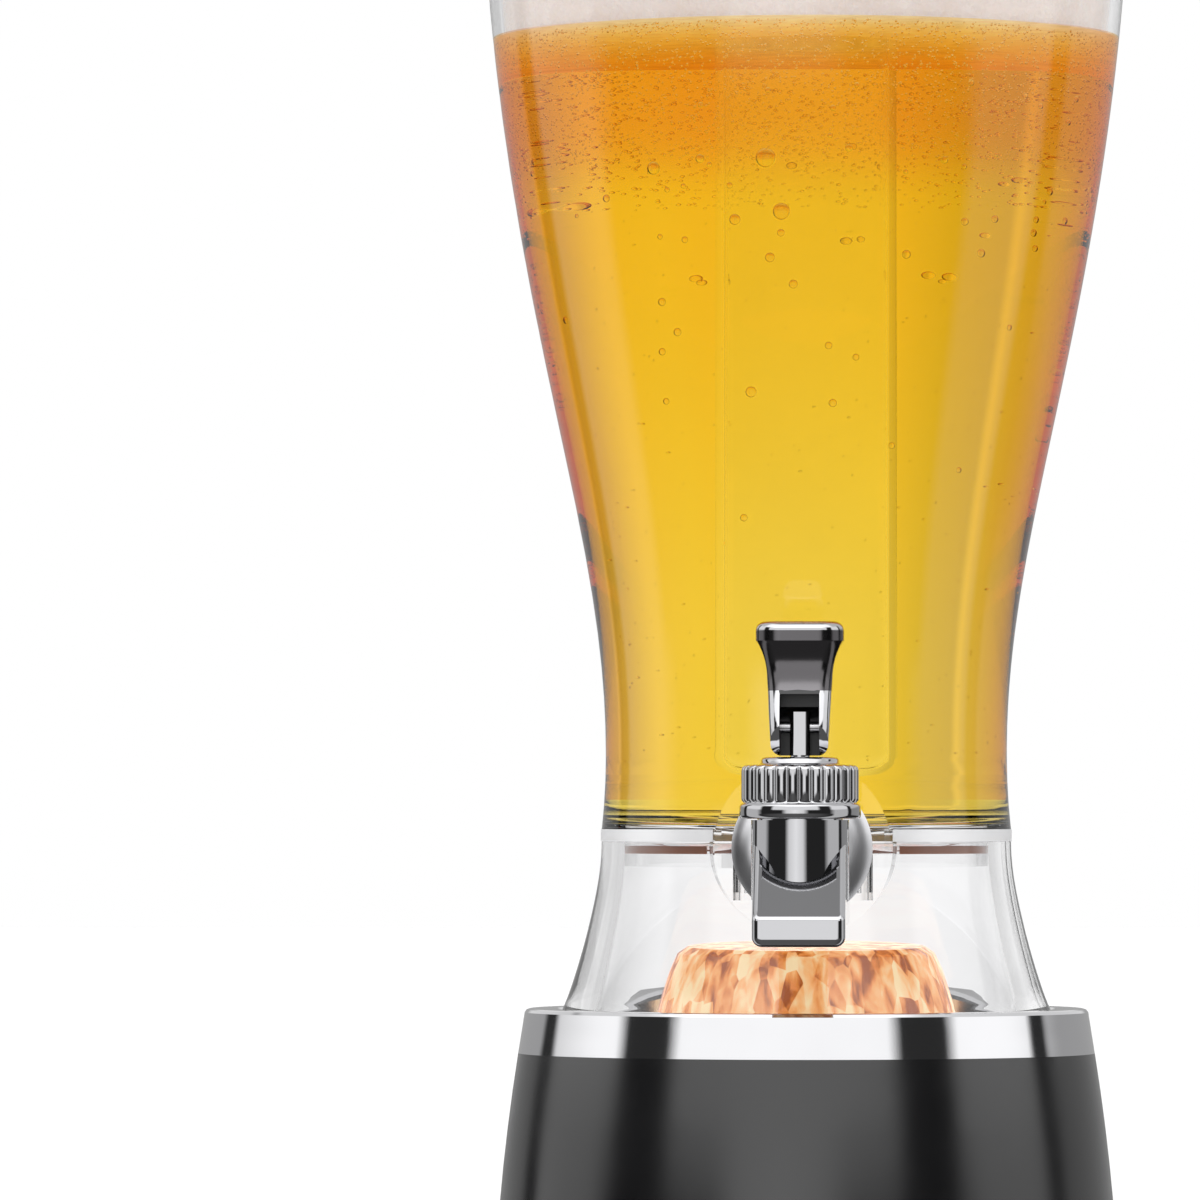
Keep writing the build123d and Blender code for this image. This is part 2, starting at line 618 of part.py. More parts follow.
LEVER_TOP = 211.5
CAP_TOP = 216.6
SLOT_HALF = 5.2
cam_end = cam_point(radians(LEVER_SWING + 6))

with BuildPart() as lever:
    # side view
    with BuildSketch(Plane.YZ) as lever_side:
        with BuildLine():
            Spline(*[cam_point(radians(LEVER_SWING + 6) * i / 8) for i in range(9)])
            Line(cam_point(0), (-VALVE_Y + 4.0, PIN_Z - CAM_REST))
            ThreePointArc(
                (-VALVE_Y + 4.0, PIN_Z - CAM_REST),
                (-VALVE_Y + 6.6, PIN_Z - CAM_REST + 0.9),
                (-VALVE_Y + 7.6, PIN_Z - CAM_REST + 3.0),
            )
            Line((-VALVE_Y + 7.6, PIN_Z - CAM_REST + 3.0), (-VALVE_Y + 5.6, 203.0))
            ThreePointArc((-VALVE_Y + 5.6, 203.0), (-VALVE_Y + 5.8, 207.6), (-VALVE_Y + 7.0, LEVER_TOP))
            Line((-VALVE_Y + 7.0, LEVER_TOP), (-VALVE_Y - 9.0, LEVER_TOP))
            Spline((-VALVE_Y - 9.0, LEVER_TOP), (-VALVE_Y - 7.4, 203.0), cam_end,
                   tangents=((0.5, -1), (-0.25, -1)))
        make_face()
    extrude(lever_side.sketch, amount=14, both=True)
    # front view
    with BuildSketch(Plane.XZ.offset(VALVE_Y - 20)) as lever_front:
        with BuildLine():
            Line((-4.6, PIN_Z - CAM_REST), (4.6, PIN_Z - CAM_REST))
            ThreePointArc((4.6, PIN_Z - CAM_REST), (6.7, PIN_Z - CAM_REST + 0.9), (7.5, PIN_Z - CAM_REST + 3))
            Line((7.5, PIN_Z - CAM_REST + 3), (8.5, 202.0))
            ThreePointArc((8.5, 202.0), (9.3, 207.2), (11.2, LEVER_TOP))
            Line((11.2, LEVER_TOP), (-11.2, LEVER_TOP))
            ThreePointArc((-11.2, LEVER_TOP), (-9.3, 207.2), (-8.5, 202.0))
            Line((-8.5, 202.0), (-7.5, PIN_Z - CAM_REST + 3))
            ThreePointArc((-7.5, PIN_Z - CAM_REST + 3), (-6.7, PIN_Z - CAM_REST + 0.9), (-4.6, PIN_Z - CAM_REST))
        make_face()
    extrude(lever_front.sketch, amount=50, mode=Mode.INTERSECT)
    # rounded corners all the way up to the flared top: (height, half-width, front, back)
    sections = []
    for height, half_width, front, back in [
        (180.0, 7.6, 98.9, 79.0),
        (191.0, 8.0, 98.9, 79.6),
        (202.0, 8.6, 94.4, 81.4),
        (207.2, 9.5, 94.2, 81.2),
        (LEVER_TOP, 11.4, 96.2, 79.8),
    ]:
        with BuildSketch(Plane.XY.offset(height)) as slice_outline:
            with Locations((0, -(front + back) / 2)):
                RectangleRounded(2 * half_width, front - back, 3.6)
        sections.append(slice_outline.sketch)
    loft(sections, mode=Mode.INTERSECT)
    # slot for the stem's blade, open in front and below, and the pin's hole
    with BuildSketch(Plane.YZ) as slot:
        with Locations((-VALVE_Y, PIN_Z)):
            Circle(5.3)
        with BuildLine():
            Polyline(
                (-VALVE_Y - 20, 170), (-VALVE_Y + 5.3, 170), (-VALVE_Y + 5.3, PIN_Z),
                (-VALVE_Y, PIN_Z + 5.3), (-VALVE_Y, PIN_Z + 8.6), (-VALVE_Y - 20, PIN_Z + 8.6), close=True,
            )
        make_face()
    extrude(slot.sketch, amount=SLOT_HALF, both=True, mode=Mode.SUBTRACT)
    with BuildSketch(Plane.YZ) as pin_bore:
        with Locations((-VALVE_Y, PIN_Z)):
            Circle(PIN_R)
    extrude(pin_bore.sketch, amount=14, both=True, mode=Mode.SUBTRACT)
lever.part.label = "lever"

with BuildPart() as lever_pin:
    with BuildSketch(Plane.YZ) as pin_outline:
        with Locations((-VALVE_Y, PIN_Z)):
            Circle(PIN_R)
    extrude(pin_outline.sketch, amount=7.6, both=True)
lever_pin.part.label = "lever_pin"

with BuildPart() as lever_cap:
    with BuildSketch(Plane.XY.offset(LEVER_TOP)):
        with Locations((0, -VALVE_Y - 1)):
            RectangleRounded(23.0, 17.0, 6.5)
    extrude(amount=CAP_TOP - LEVER_TOP)
    fillet(lever_cap.faces().sort_by(Axis.Z)[-1].edges(), 2.4)
lever_cap.part.label = "lever_cap"

# ---------------------------------------------------------------- top
LID_FOOT = RIM_Z + LID_GAP
PLUG_R = 83.4
with BuildPart() as lid:
    with BuildSketch(Plane.XZ) as lid_outline:
        with BuildLine():
            Polyline(
                (TUBE_R + 0.5, LID_CROWN_Z - 3.5),
                (TUBE_R + 0.5, LID_CROWN_Z),
                (27.0, LID_CROWN_Z),
            )
            ThreePointArc((27.0, LID_CROWN_Z), (62.0, LID_FOOT + 8.2), (LID_EDGE_R - 2.5, LID_FOOT + 4.6))
            ThreePointArc(
                (LID_EDGE_R - 2.5, LID_FOOT + 4.6), (LID_EDGE_R - 0.6, LID_FOOT + 3.6), (LID_EDGE_R, LID_FOOT + 1.8)
            )
            Polyline(
                (LID_EDGE_R, LID_FOOT + 1.8),
                (LID_EDGE_R, LID_FOOT),
                (PLUG_R, LID_FOOT),
                (PLUG_R, 426.4),
                (PLUG_R - 1.2, 426.4),
                (PLUG_R - 1.2, 423.6),
                (PLUG_R, 423.6),
                (PLUG_R, 420.0),
                (PLUG_R - 2.6, 420.0),
                (PLUG_R - 2.6, LID_FOOT),
            )
            ThreePointArc((PLUG_R - 2.6, LID_FOOT), (60.0, LID_FOOT + 4.8), (TUBE_R + 0.5, LID_CROWN_Z - 3.5))
        make_face()
    revolve(axis=Axis.Z)
lid.part.label = "lid"

with BuildPart() as lid_gasket:
    ring(PLUG_R + 0.6, 423.6, 426.4, inner=PLUG_R - 1.2)
lid_gasket.part.label = "lid_gasket"

TUBE_IN = TUBE_R - TUBE_WALL
TUBE_FLANGE = LID_CROWN_Z + LID_GAP
with BuildPart() as ice_tube:
    with BuildSketch(Plane.XZ) as tube_outline:
        with BuildLine():
            Line((0, TUBE_FOOT_Z), (TUBE_R - 6, TUBE_FOOT_Z))
            ThreePointArc(
                (TUBE_R - 6, TUBE_FOOT_Z),
                (TUBE_R - 6 * (1 - sqrt(0.5)), TUBE_FOOT_Z + 6 * (1 - sqrt(0.5))),
                (TUBE_R, TUBE_FOOT_Z + 6),
            )
            Polyline(
                (TUBE_R, TUBE_FOOT_Z + 6),
                (TUBE_R, TUBE_FLANGE),
                (24.5, TUBE_FLANGE),
                (24.5, TUBE_FLANGE + 2.5),
                (TUBE_IN, TUBE_FLANGE + 2.5),
                (TUBE_IN, TUBE_FOOT_Z + 6),
            )
            ThreePointArc(
                (TUBE_IN, TUBE_FOOT_Z + 6),
                (TUBE_IN - 4 * (1 - sqrt(0.5)), TUBE_FOOT_Z + 2 + 4 * (1 - sqrt(0.5))),
                (TUBE_IN - 4, TUBE_FOOT_Z + 2),
            )
            Line((TUBE_IN - 4, TUBE_FOOT_Z + 2), (0, TUBE_FOOT_Z + 2))
            Line((0, TUBE_FOOT_Z + 2), (0, TUBE_FOOT_Z))
        make_face()
    revolve(axis=Axis.Z)
ice_tube.part.label = "ice_tube"

CAP_FOOT = TUBE_FLANGE + 2.5 + LID_GAP
CAP_PLUG_R = TUBE_IN - 1.0
with BuildPart() as ice_tube_cap:
    with BuildSketch(Plane.XZ) as knob_outline:
        with BuildLine():
            Polyline(
                (0, CAP_FOOT - 9),
                (CAP_PLUG_R, CAP_FOOT - 9),
                (CAP_PLUG_R, CAP_FOOT - 6.2),
                (CAP_PLUG_R - 1.2, CAP_FOOT - 6.2),
                (CAP_PLUG_R - 1.2, CAP_FOOT - 3.8),
                (CAP_PLUG_R, CAP_FOOT - 3.8),
                (CAP_PLUG_R, CAP_FOOT),
                (25.0, CAP_FOOT),
                (25.0, CAP_FOOT + 2.0),
            )
            ThreePointArc((25.0, CAP_FOOT + 2.0), (20.0, CAP_FOOT + 3.6), (13.0, CAP_FOOT + 4.4))
            ThreePointArc((13.0, CAP_FOOT + 4.4), (11.4, CAP_FOOT + 7.0), (12.6, CAP_FOOT + 10.4))
            ThreePointArc((12.6, CAP_FOOT + 10.4), (10.4, CAP_FOOT + 13.0), (6.0, CAP_FOOT + 14.4))
            Line((6.0, CAP_FOOT + 14.4), (0, CAP_FOOT + 14.4))
            Line((0, CAP_FOOT + 14.4), (0, CAP_FOOT - 9))
        make_face()
    revolve(axis=Axis.Z)
ice_tube_cap.part.label = "ice_tube_cap"

with BuildPart() as cap_seal:
    ring(CAP_PLUG_R + 0.6, CAP_FOOT - 6.2, CAP_FOOT - 3.8, inner=CAP_PLUG_R - 1.2)
cap_seal.part.label = "cap_seal"

# ---------------------------------------------------------------- files
pieces = [
    non_slip_mat, bottom_plate, base_screws, base_shell, base_trim_ring,
    battery_holder, batteries, battery_contacts, battery_door, battery_door_screw,
    power_button, switch_body, button_spring,
    led_housing, led_board, leds, led_dome, lead_wires,
    skirt, skirt_screws, trim_band, vessel, vessel_seal,
    outer_gasket, escutcheon, tap_body, inner_gasket, shank_nut,
    bonnet_nut, stem_seal, valve_plug, valve_stem, valve_spring,
    lever, lever_pin, lever_cap,
    lid, lid_gasket, ice_tube, ice_tube_cap, cap_seal,
]
for piece in pieces:
    export_step(piece.part, f"parts/{piece.part.label}.step")
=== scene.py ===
import json
import math
import random

import bmesh
import bpy
import numpy as np
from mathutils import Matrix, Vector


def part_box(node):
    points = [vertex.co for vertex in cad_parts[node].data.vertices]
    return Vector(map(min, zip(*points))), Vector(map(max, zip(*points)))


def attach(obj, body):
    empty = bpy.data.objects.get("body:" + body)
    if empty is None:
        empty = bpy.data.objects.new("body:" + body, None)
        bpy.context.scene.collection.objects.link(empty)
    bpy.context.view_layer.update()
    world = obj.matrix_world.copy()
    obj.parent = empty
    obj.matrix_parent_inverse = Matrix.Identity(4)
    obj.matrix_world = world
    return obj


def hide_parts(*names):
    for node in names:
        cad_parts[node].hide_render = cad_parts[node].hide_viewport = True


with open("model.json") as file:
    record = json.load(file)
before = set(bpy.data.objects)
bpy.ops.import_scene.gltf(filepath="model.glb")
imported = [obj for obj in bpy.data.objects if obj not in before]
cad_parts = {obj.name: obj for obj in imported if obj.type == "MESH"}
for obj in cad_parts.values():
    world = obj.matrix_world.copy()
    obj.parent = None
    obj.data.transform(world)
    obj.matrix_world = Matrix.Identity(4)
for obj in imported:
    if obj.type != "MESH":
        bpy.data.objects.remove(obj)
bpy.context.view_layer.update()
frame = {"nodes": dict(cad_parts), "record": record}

nodes = frame["nodes"]
scene = bpy.context.scene
MM = 0.001
TOWER = "tower"


# ------------------------------------------------------------------ small helpers
def link(obj):
    scene.collection.objects.link(obj)
    return obj


def mesh_object(name, verts, faces, smooth=True):
    mesh = bpy.data.meshes.new(name)
    mesh.from_pydata([tuple(v) for v in verts], [], faces)
    mesh.validate()
    mesh.polygons.foreach_set("use_smooth", [smooth] * len(mesh.polygons))
    mesh.update()
    return link(bpy.data.objects.new(name, mesh))


def lathe(name, outline, segments=192, closed=True):
    """A mesh turned about Z from (radius, height) points; points with radius 0 close it on the axis."""
    verts, rings = [], []
    for radius, height in outline:
        if radius <= 0:
            rings.append([len(verts)])
            verts.append((0, 0, height))
            continue
        rings.append(list(range(len(verts), len(verts) + segments)))
        for i in range(segments):
            turn = 2 * math.pi * i / segments
            verts.append((radius * math.cos(turn), radius * math.sin(turn), height))
    faces = []
    pairs = list(zip(rings, rings[1:]))
    if closed and len(rings[0]) > 1 and len(rings[-1]) > 1:
        pairs.append((rings[-1], rings[0]))
    for low, high in pairs:
        for i in range(segments):
            j = (i + 1) % segments
            if len(low) == 1:
                faces.append((low[0], high[j], high[i]))
            elif len(high) == 1:
                faces.append((low[i], low[j], high[0]))
            else:
                faces.append((low[i], low[j], high[j], high[i]))
    return mesh_object(name, verts, faces)


def place(obj, body, slot, material, *replaced):
    """Puts the piece on what it rides on, gives it its finish and hides the CAD parts it replaces."""
    obj.data.materials.clear()
    obj.data.materials.append(material)
    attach(obj, body)
    if replaced:
        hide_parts(*replaced)
    return obj


# ------------------------------------------------------------------ materials
def new_material(name):
    material = bpy.data.materials.new(name)
    material.use_nodes = True
    tree = material.node_tree
    return material, tree, tree.nodes["Principled BSDF"]


def set_inputs(shader, **values):
    for key, value in values.items():
        shader.inputs[key.replace("_", " ")].default_value = value


def ramp(tree, factor, stops, interpolation="LINEAR"):
    """A colour ramp node fed by a socket; the stops are (place, colour or grey)."""
    node = tree.nodes.new("ShaderNodeValToRGB")
    node.color_ramp.interpolation = interpolation
    while len(node.color_ramp.elements) < len(stops):
        node.color_ramp.elements.new(1.0)
    for element, (where, colour) in zip(node.color_ramp.elements, stops):
        element.position = where
        element.color = (*colour, 1) if isinstance(colour, tuple) else (colour, colour, colour, 1)
    tree.links.new(factor, node.inputs["Fac"])
    return node.outputs["Color"]


def object_space(tree, stretch=(1, 1, 1)):
    """Places on the object, stretched along its axes."""
    coord = tree.nodes.new("ShaderNodeTexCoord")
    mapping = tree.nodes.new("ShaderNodeMapping")
    mapping.inputs["Scale"].default_value = stretch
    tree.links.new(coord.outputs["Object"], mapping.inputs["Vector"])
    return mapping.outputs["Vector"]


def noise(tree, size, detail=3.0, roughness=0.5, stretch=(1, 1, 1), distortion=0.0):
    """Noise in the object's own space; size is the blotch size in metres."""
    node = tree.nodes.new("ShaderNodeTexNoise")
    set_inputs(node, Scale=1 / size, Detail=detail, Roughness=roughness, Distortion=distortion)
    tree.links.new(object_space(tree, stretch), node.inputs["Vector"])
    return node.outputs["Fac"]


def cells(tree, size, randomness=1.0, stretch=(1, 1, 1)):
    """Irregular cells of about the given size; the node gives their colours and distances."""
    node = tree.nodes.new("ShaderNodeTexVoronoi")
    set_inputs(node, Scale=1 / size, Randomness=randomness)
    tree.links.new(object_space(tree, stretch), node.inputs["Vector"])
    return node.outputs


def bump(tree, shader, height, depth, strength=1.0):
    node = tree.nodes.new("ShaderNodeBump")
    set_inputs(node, Distance=depth, Strength=strength)
    tree.links.new(height, node.inputs["Height"])
    tree.links.new(node.outputs["Normal"], shader.inputs["Normal"])


GLOSS_SPREAD = 0.12


def grained(name, colour, rough, grain=0.6 * MM, depth=0.01 * MM, tint=0.12, **values):
    """Moulded, plated or rubber surface: fine grain, with slow changes of colour and gloss."""
    material, tree, shader = new_material(name)
    set_inputs(shader, **values)
    slow = noise(tree, 25 * MM, detail=4)
    fine = noise(tree, grain, detail=2)
    dark = tuple(c * (1 - tint) for c in colour)
    light = tuple(min(1, c * (1 + tint)) for c in colour)
    tree.links.new(ramp(tree, slow, [(0.3, dark), (0.7, light)]), shader.inputs["Base Color"])
    low, high = rough * (1 - GLOSS_SPREAD), rough * (1 + GLOSS_SPREAD)
    tree.links.new(ramp(tree, slow, [(0.35, low), (0.65, high)]), shader.inputs["Roughness"])
    bump(tree, shader, fine, depth)
    return material


def clear(name, ior, rough=0.004, tint=(1, 1, 1), edge=None):
    """Polished clear plastic with a trace of haze; edge is a colour painted on it where it is seen at a slant,
    a painted glow standing in for light through what lies behind.
    """
    material, tree, shader = new_material(name)
    set_inputs(shader, Transmission_Weight=1.0, IOR=ior)
    slow = noise(tree, 30 * MM, detail=2)
    if edge:
        slant = tree.nodes.new("ShaderNodeLayerWeight")
        slant.inputs["Blend"].default_value = 0.5
        middle = tuple((a + b) / 2 for a, b in zip(tint, edge))
        shade = ramp(tree, slant.outputs["Facing"], [(0.15, tint), (0.5, middle), (0.8, edge)])
    else:
        soft = tuple(c * 0.985 for c in tint)
        shade = ramp(tree, slow, [(0.3, soft), (0.7, tint)])
    tree.links.new(shade, shader.inputs["Base Color"])
    haze = ramp(tree, slow, [(0.4, rough * 0.5), (0.7, rough * 1.5)])
    tree.links.new(haze, shader.inputs["Roughness"])
    return material


PLASTIC_IOR = 1.49
BEER_IOR = 1.34
WET_IOR = PLASTIC_IOR / BEER_IOR
TUBE_WET_IOR = 1.025  # the photo hardly shows the tube in the beer

black = grained("satin_black", (0.0045, 0.0045, 0.005), 0.19, IOR=1.75, depth=0.003 * MM)
plated = {"Metallic": 1.0, "depth": 0.002 * MM}
polished = {"Metallic": 1.0, "depth": 0.0015 * MM, "tint": 0.02}
painted = {"Metallic": 0.35, "depth": 0.002 * MM, "tint": 0.03}
chrome_ring = grained("ring_chrome", (0.72, 0.72, 0.735), 0.07, **polished)
chrome_tap = grained("tap_chrome_finish", (0.50, 0.50, 0.515), 0.05, **polished)
silver_band = grained("band_silver_finish", (0.90, 0.90, 0.91), 0.4, **painted)
dark_chrome = grained("dark_chrome_finish", (0.115, 0.11, 0.115), 0.16, tint=0.05, **plated)
satin_chrome = grained("flange_chrome_finish", (0.78, 0.78, 0.80), 0.30, tint=0.03, **plated)
amber_seal = grained("amber_seal_finish", (0.52, 0.17, 0.07), 0.35, depth=0.008 * MM)
# painted shade for the faces inside the lever's slot
painted_slot_shade = grained("painted_slot_shade_finish", (0.012, 0.012, 0.013), 0.3)
rubber = grained("black_rubber_finish", (0.018, 0.018, 0.018), 0.65, depth=0.03 * MM, grain=0.4 * MM)
seal = grained("white_seal_finish", (0.78, 0.78, 0.75), 0.45, depth=0.008 * MM)
steel = grained("steel_finish", (0.55, 0.55, 0.56), 0.28, Metallic=1.0, depth=0.003 * MM)
grey_mould = grained("grey_mould_finish", (0.06, 0.06, 0.065), 0.5, depth=0.02 * MM)
board_white = grained("board_finish", (0.75, 0.76, 0.74), 0.4)
jacket = grained("jacket_finish", (0.1, 0.13, 0.2), 0.3, Metallic=0.6)
wire_red = grained("wire_finish", (0.45, 0.03, 0.025), 0.4)
lamp = grained("lamp_finish", (1.0, 0.72, 0.4), 0.2)
clear_wall = clear("clear_wall_dry", PLASTIC_IOR)
clear_wet = clear("clear_wall_wet", WET_IOR)
# painted amber glow of the beer, on the wall where it is seen at a slant
painted_beer_edge_glow = clear("clear_wall_painted_beer_glow", PLASTIC_IOR, edge=(0.88, 0.32, 0.03))
# painted reflection of the beer, for the floor's underside
painted_beer_reflection_under = clear("clear_floor_painted_beer_reflection", PLASTIC_IOR, tint=(0.80, 0.42, 0.26))
clear_tube = clear("clear_tube_wet", TUBE_WET_IOR)
clear_skirt = clear("clear_skirt_finish", PLASTIC_IOR, tint=(0.985, 0.985, 0.99))

finish_of_slot = {
    "black_shell": black,
    "chrome_trim": chrome_ring,
    "clear_wall": clear_wall,
    "clear_skirt": clear_skirt,
    "clear_tube": clear_wall,
    "black_rubber": rubber,
    "white_seal": seal,
    "steel": steel,
    "tap_chrome": chrome_tap,
    "grey_moulding": grey_mould,
    "board": board_white,
    "led": lamp,
    "cell_jacket": jacket,
    "wire": wire_red,
    "band_silver": silver_band,
    "amber_lens": lamp,
}
for row in frame["record"]["subparts"]:
    node = nodes[row["node"]]
    node.data.materials.clear()
    node.data.materials.append(finish_of_slot[row["material_slot"]])


def finish_some(node, material, chosen):
    """Gives another finish to the faces of a node that chosen(center) picks."""
    mesh = nodes[node].data
    index = len(mesh.materials)
    mesh.materials.append(material)
    for polygon in mesh.polygons:
        if chosen(polygon.center):
            polygon.material_index = index


GRIP_FOOT = 198.5 * MM
SLOT_HALF = 5.25 * MM
SLOT_FRONT = -98 * MM
CAP_RIM = 214.2 * MM


def in_lever_slot(center):
    return abs(center.x) < SLOT_HALF and center.z < GRIP_FOOT and center.y > SLOT_FRONT


finish_some("lever", dark_chrome, lambda center: center.z > GRIP_FOOT)
# the faces inside the lever's slot take a near-black painted shade
finish_some("lever", painted_slot_shade, in_lever_slot)
finish_some("escutcheon", satin_chrome, lambda center: True)
finish_some("vessel_seal", amber_seal, lambda center: True)
finish_some("lever_cap", dark_chrome, lambda center: center.z < CAP_RIM)


# ------------------------------------------------------------------ beer
tube_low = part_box("ice_tube")[0]
vessel_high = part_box("vessel")[1]
BEER_TOP = 375.7 * MM
TUBE_R = 18.3 * MM
GAP = 0.15 * MM


def wall_curves(node, z_low, z_high):
    """Outer and inner radius of a turned wall, as smooth curves in height fitted to its own vertices."""
    co = np.array([v.co for v in nodes[node].data.vertices])
    radius = np.hypot(co[:, 0], co[:, 1])
    back = (co[:, 1] > 0) & (co[:, 2] > z_low) & (co[:, 2] < z_high)
    radius, height = radius[back], co[back, 2]
    middle = np.polynomial.Polynomial.fit(height, radius, 6)
    outer = radius > middle(height)
    fits = []
    for side in (outer, ~outer):
        fits.append(np.polynomial.Polynomial.fit(height[side], radius[side], 7))
    return fits


outer_wall, inner_wall = wall_curves("vessel", 171 * MM, vessel_high.z - 6 * MM)
FLOOR_EDGE = 163.0 * MM
FLOOR_MID = 160.2 * MM
FLOOR_FLAT_R = 45.0 * MM
VESSEL_FLOOR_R = 45.8 * MM
CORNER_Z = 172.0 * MM
FOOT_ROUND = 6 * MM


def beer_side(z_low, z_high, steps, inset=GAP):
    """Points up the vessel's inner wall."""
    heights = np.linspace(z_low, z_high, steps)
    return [(float(inner_wall(z)) - inset, float(z)) for z in heights]


def beer_outline(top):
    """The beer's outline: floor, corner, wall, level top, and down round the ice tube."""
    corner_r = float(inner_wall(CORNER_Z)) - GAP
    points = [(0, FLOOR_MID + GAP)]
    for i in range(1, 9):
        r = FLOOR_FLAT_R * i / 8
        points.append((r, FLOOR_MID + (FLOOR_EDGE - FLOOR_MID) * (r / VESSEL_FLOOR_R) ** 2 + GAP))
    for i in range(1, 7):
        turn = math.pi / 2 * i / 7
        points.append((
            FLOOR_FLAT_R + (corner_r - FLOOR_FLAT_R) * math.sin(turn),
            FLOOR_EDGE + GAP + (CORNER_Z - FLOOR_EDGE) * (1 - math.cos(turn)),
        ))
    points += beer_side(CORNER_Z, top, 70)
    points.append((TUBE_R + GAP, top))
    points.append((TUBE_R + GAP, tube_low.z + FOOT_ROUND))
    for i in range(1, 7):
        turn = math.pi / 2 * i / 6
        points.append((
            TUBE_R + GAP - FOOT_ROUND * (1 - math.cos(turn)),
            tube_low.z + FOOT_ROUND - (FOOT_ROUND + GAP) * math.sin(turn),
        ))
    points.append((0, tube_low.z - GAP))
    return points


def absorbing(name, clear_per_metre):
    """A clear liquid that takes a share of each colour per metre."""
    material, tree, shader = new_material(name)
    set_inputs(shader, Transmission_Weight=1.0, IOR=1.0, Roughness=0.0)
    stops = [(0.3, (0.99, 0.99, 0.99)), (0.7, (1, 1, 1))]
    tree.links.new(ramp(tree, noise(tree, 4 * MM), stops), shader.inputs["Base Color"])
    volume = tree.nodes.new("ShaderNodeVolumeAbsorption")
    most = max(clear_per_metre) * 1.01
    volume.inputs["Density"].default_value = most
    volume.inputs["Color"].default_value = (*[1 - a / most for a in clear_per_metre], 1)
    tree.links.new(volume.outputs["Volume"], tree.nodes["Material Output"].inputs["Volume"])
    return material


BEER_TAKES = (0.5, 4.9, 33.0)
HEAD_BUBBLE_AND_SHADE_TAKES = (0.6, 3.1, 0.0)
HEAD_LEVELS = [(340, 0.25), (343, 0.5), (346, 0.75), (350, 1.0)]
beer = lathe("beer", beer_outline(HEAD_LEVELS[0][0] * MM))
place(beer, TOWER, "clear_wall", absorbing("beer_finish", BEER_TAKES))
# the beer darkens below its head: extra absorption there stands for the haze of the bubbles that gather there
# and for painted shade from the foam above
for i, (level, share) in enumerate(HEAD_LEVELS):
    foot = level * MM + 0.02 * MM
    top = HEAD_LEVELS[i + 1][0] * MM if i + 1 < len(HEAD_LEVELS) else BEER_TOP
    outline = beer_side(foot, top, 8) + [(TUBE_R + GAP, top), (TUBE_R + GAP, foot)]
    takes = [a + b * share for a, b in zip(BEER_TAKES, HEAD_BUBBLE_AND_SHADE_TAKES)]
    zone = lathe(f"beer_under_head_{i}", outline)
    place(zone, TOWER, "clear_wall", absorbing(f"beer_under_head_finish_{i}", takes))


# wetted faces of the vessel and the tube bend light less than the dry ones
def put_normals(mesh, curves, low, high):
    """Gives the turned walls between two heights the normals of their true curves."""
    normals = np.zeros(3 * len(mesh.loops))
    mesh.corner_normals.foreach_get("vector", normals)
    normals = normals.reshape(-1, 3)
    corners = np.zeros(len(mesh.loops), dtype=int)
    mesh.loops.foreach_get("vertex_index", corners)
    points = np.zeros(3 * len(mesh.vertices))
    mesh.vertices.foreach_get("co", points)
    x, y, z = points.reshape(-1, 3)[corners].T
    spread = np.hypot(x, y)
    for curve, sign in zip(curves, (1, -1)):
        lean = curve.deriv()(z)
        outward = np.stack([x / spread, y / spread, -lean], axis=1)
        true = outward * (sign / np.sqrt(1 + lean ** 2))[:, None]
        on_wall = (z > low) & (z < high) & (np.abs(spread - curve(z)) < 0.1 * MM)
        on_wall &= (true * normals).sum(axis=1) > 0.3
        normals[on_wall] = true[on_wall]
    mesh.normals_split_custom_set(normals.tolist())


def cut_copy(name, node, heights, curves=(), low=0.0, high=0.0):
    """A copy of a CAD node, cut at more heights, with its turned walls put back on their true curves."""
    mesh = nodes[node].data.copy()
    mesh.name = name
    for attribute in [a for a in mesh.attributes if a.name == "custom_normal"]:
        mesh.attributes.remove(attribute)
    work = bmesh.new()
    work.from_mesh(mesh)
    bmesh.ops.remove_doubles(work, verts=work.verts, dist=1e-6)
    for z in heights:
        near = [e for e in work.edges if min(v.co.z for v in e.verts) < z < max(v.co.z for v in e.verts)]
        geom = list({v for e in near for v in e.verts}) + near + list({f for e in near for f in e.link_faces})
        bmesh.ops.bisect_plane(work, geom=geom, plane_co=(0, 0, z), plane_no=(0, 0, 1))
    for vert in work.verts:
        z = vert.co.z
        radius = math.hypot(vert.co.x, vert.co.y)
        if curves and low < z < high and radius > FLOOR_FLAT_R:
            right = min((float(curve(z)) for curve in curves), key=lambda r: abs(r - radius))
            if abs(right - radius) < 1.5 * MM:
                vert.co.x *= right / radius
                vert.co.y *= right / radius
    for edge in work.edges:
        if len(edge.link_faces) == 2 and edge.calc_face_angle() > math.radians(28):
            edge.smooth = False
    for face in work.faces:
        face.smooth = True
    work.to_mesh(mesh)
    work.free()
    if curves:
        put_normals(mesh, curves, low, high)
    return link(bpy.data.objects.new(name, mesh))


def finish_wet(obj, is_wet, wet):
    obj.data.materials.append(wet)
    for polygon in obj.data.polygons:
        polygon.material_index = int(is_wet(polygon.center, polygon.normal))


def outwardness(center, normal):
    """How far a face looks away from the axis, -1 to 1."""
    radius = math.hypot(center.x, center.y)
    return (center.x * normal.x + center.y * normal.y) / max(radius, 1e-6)


SPIGOT_FOOT = 150 * MM
FLOOR_Z = 162 * MM
WALL_FOOT = 170 * MM


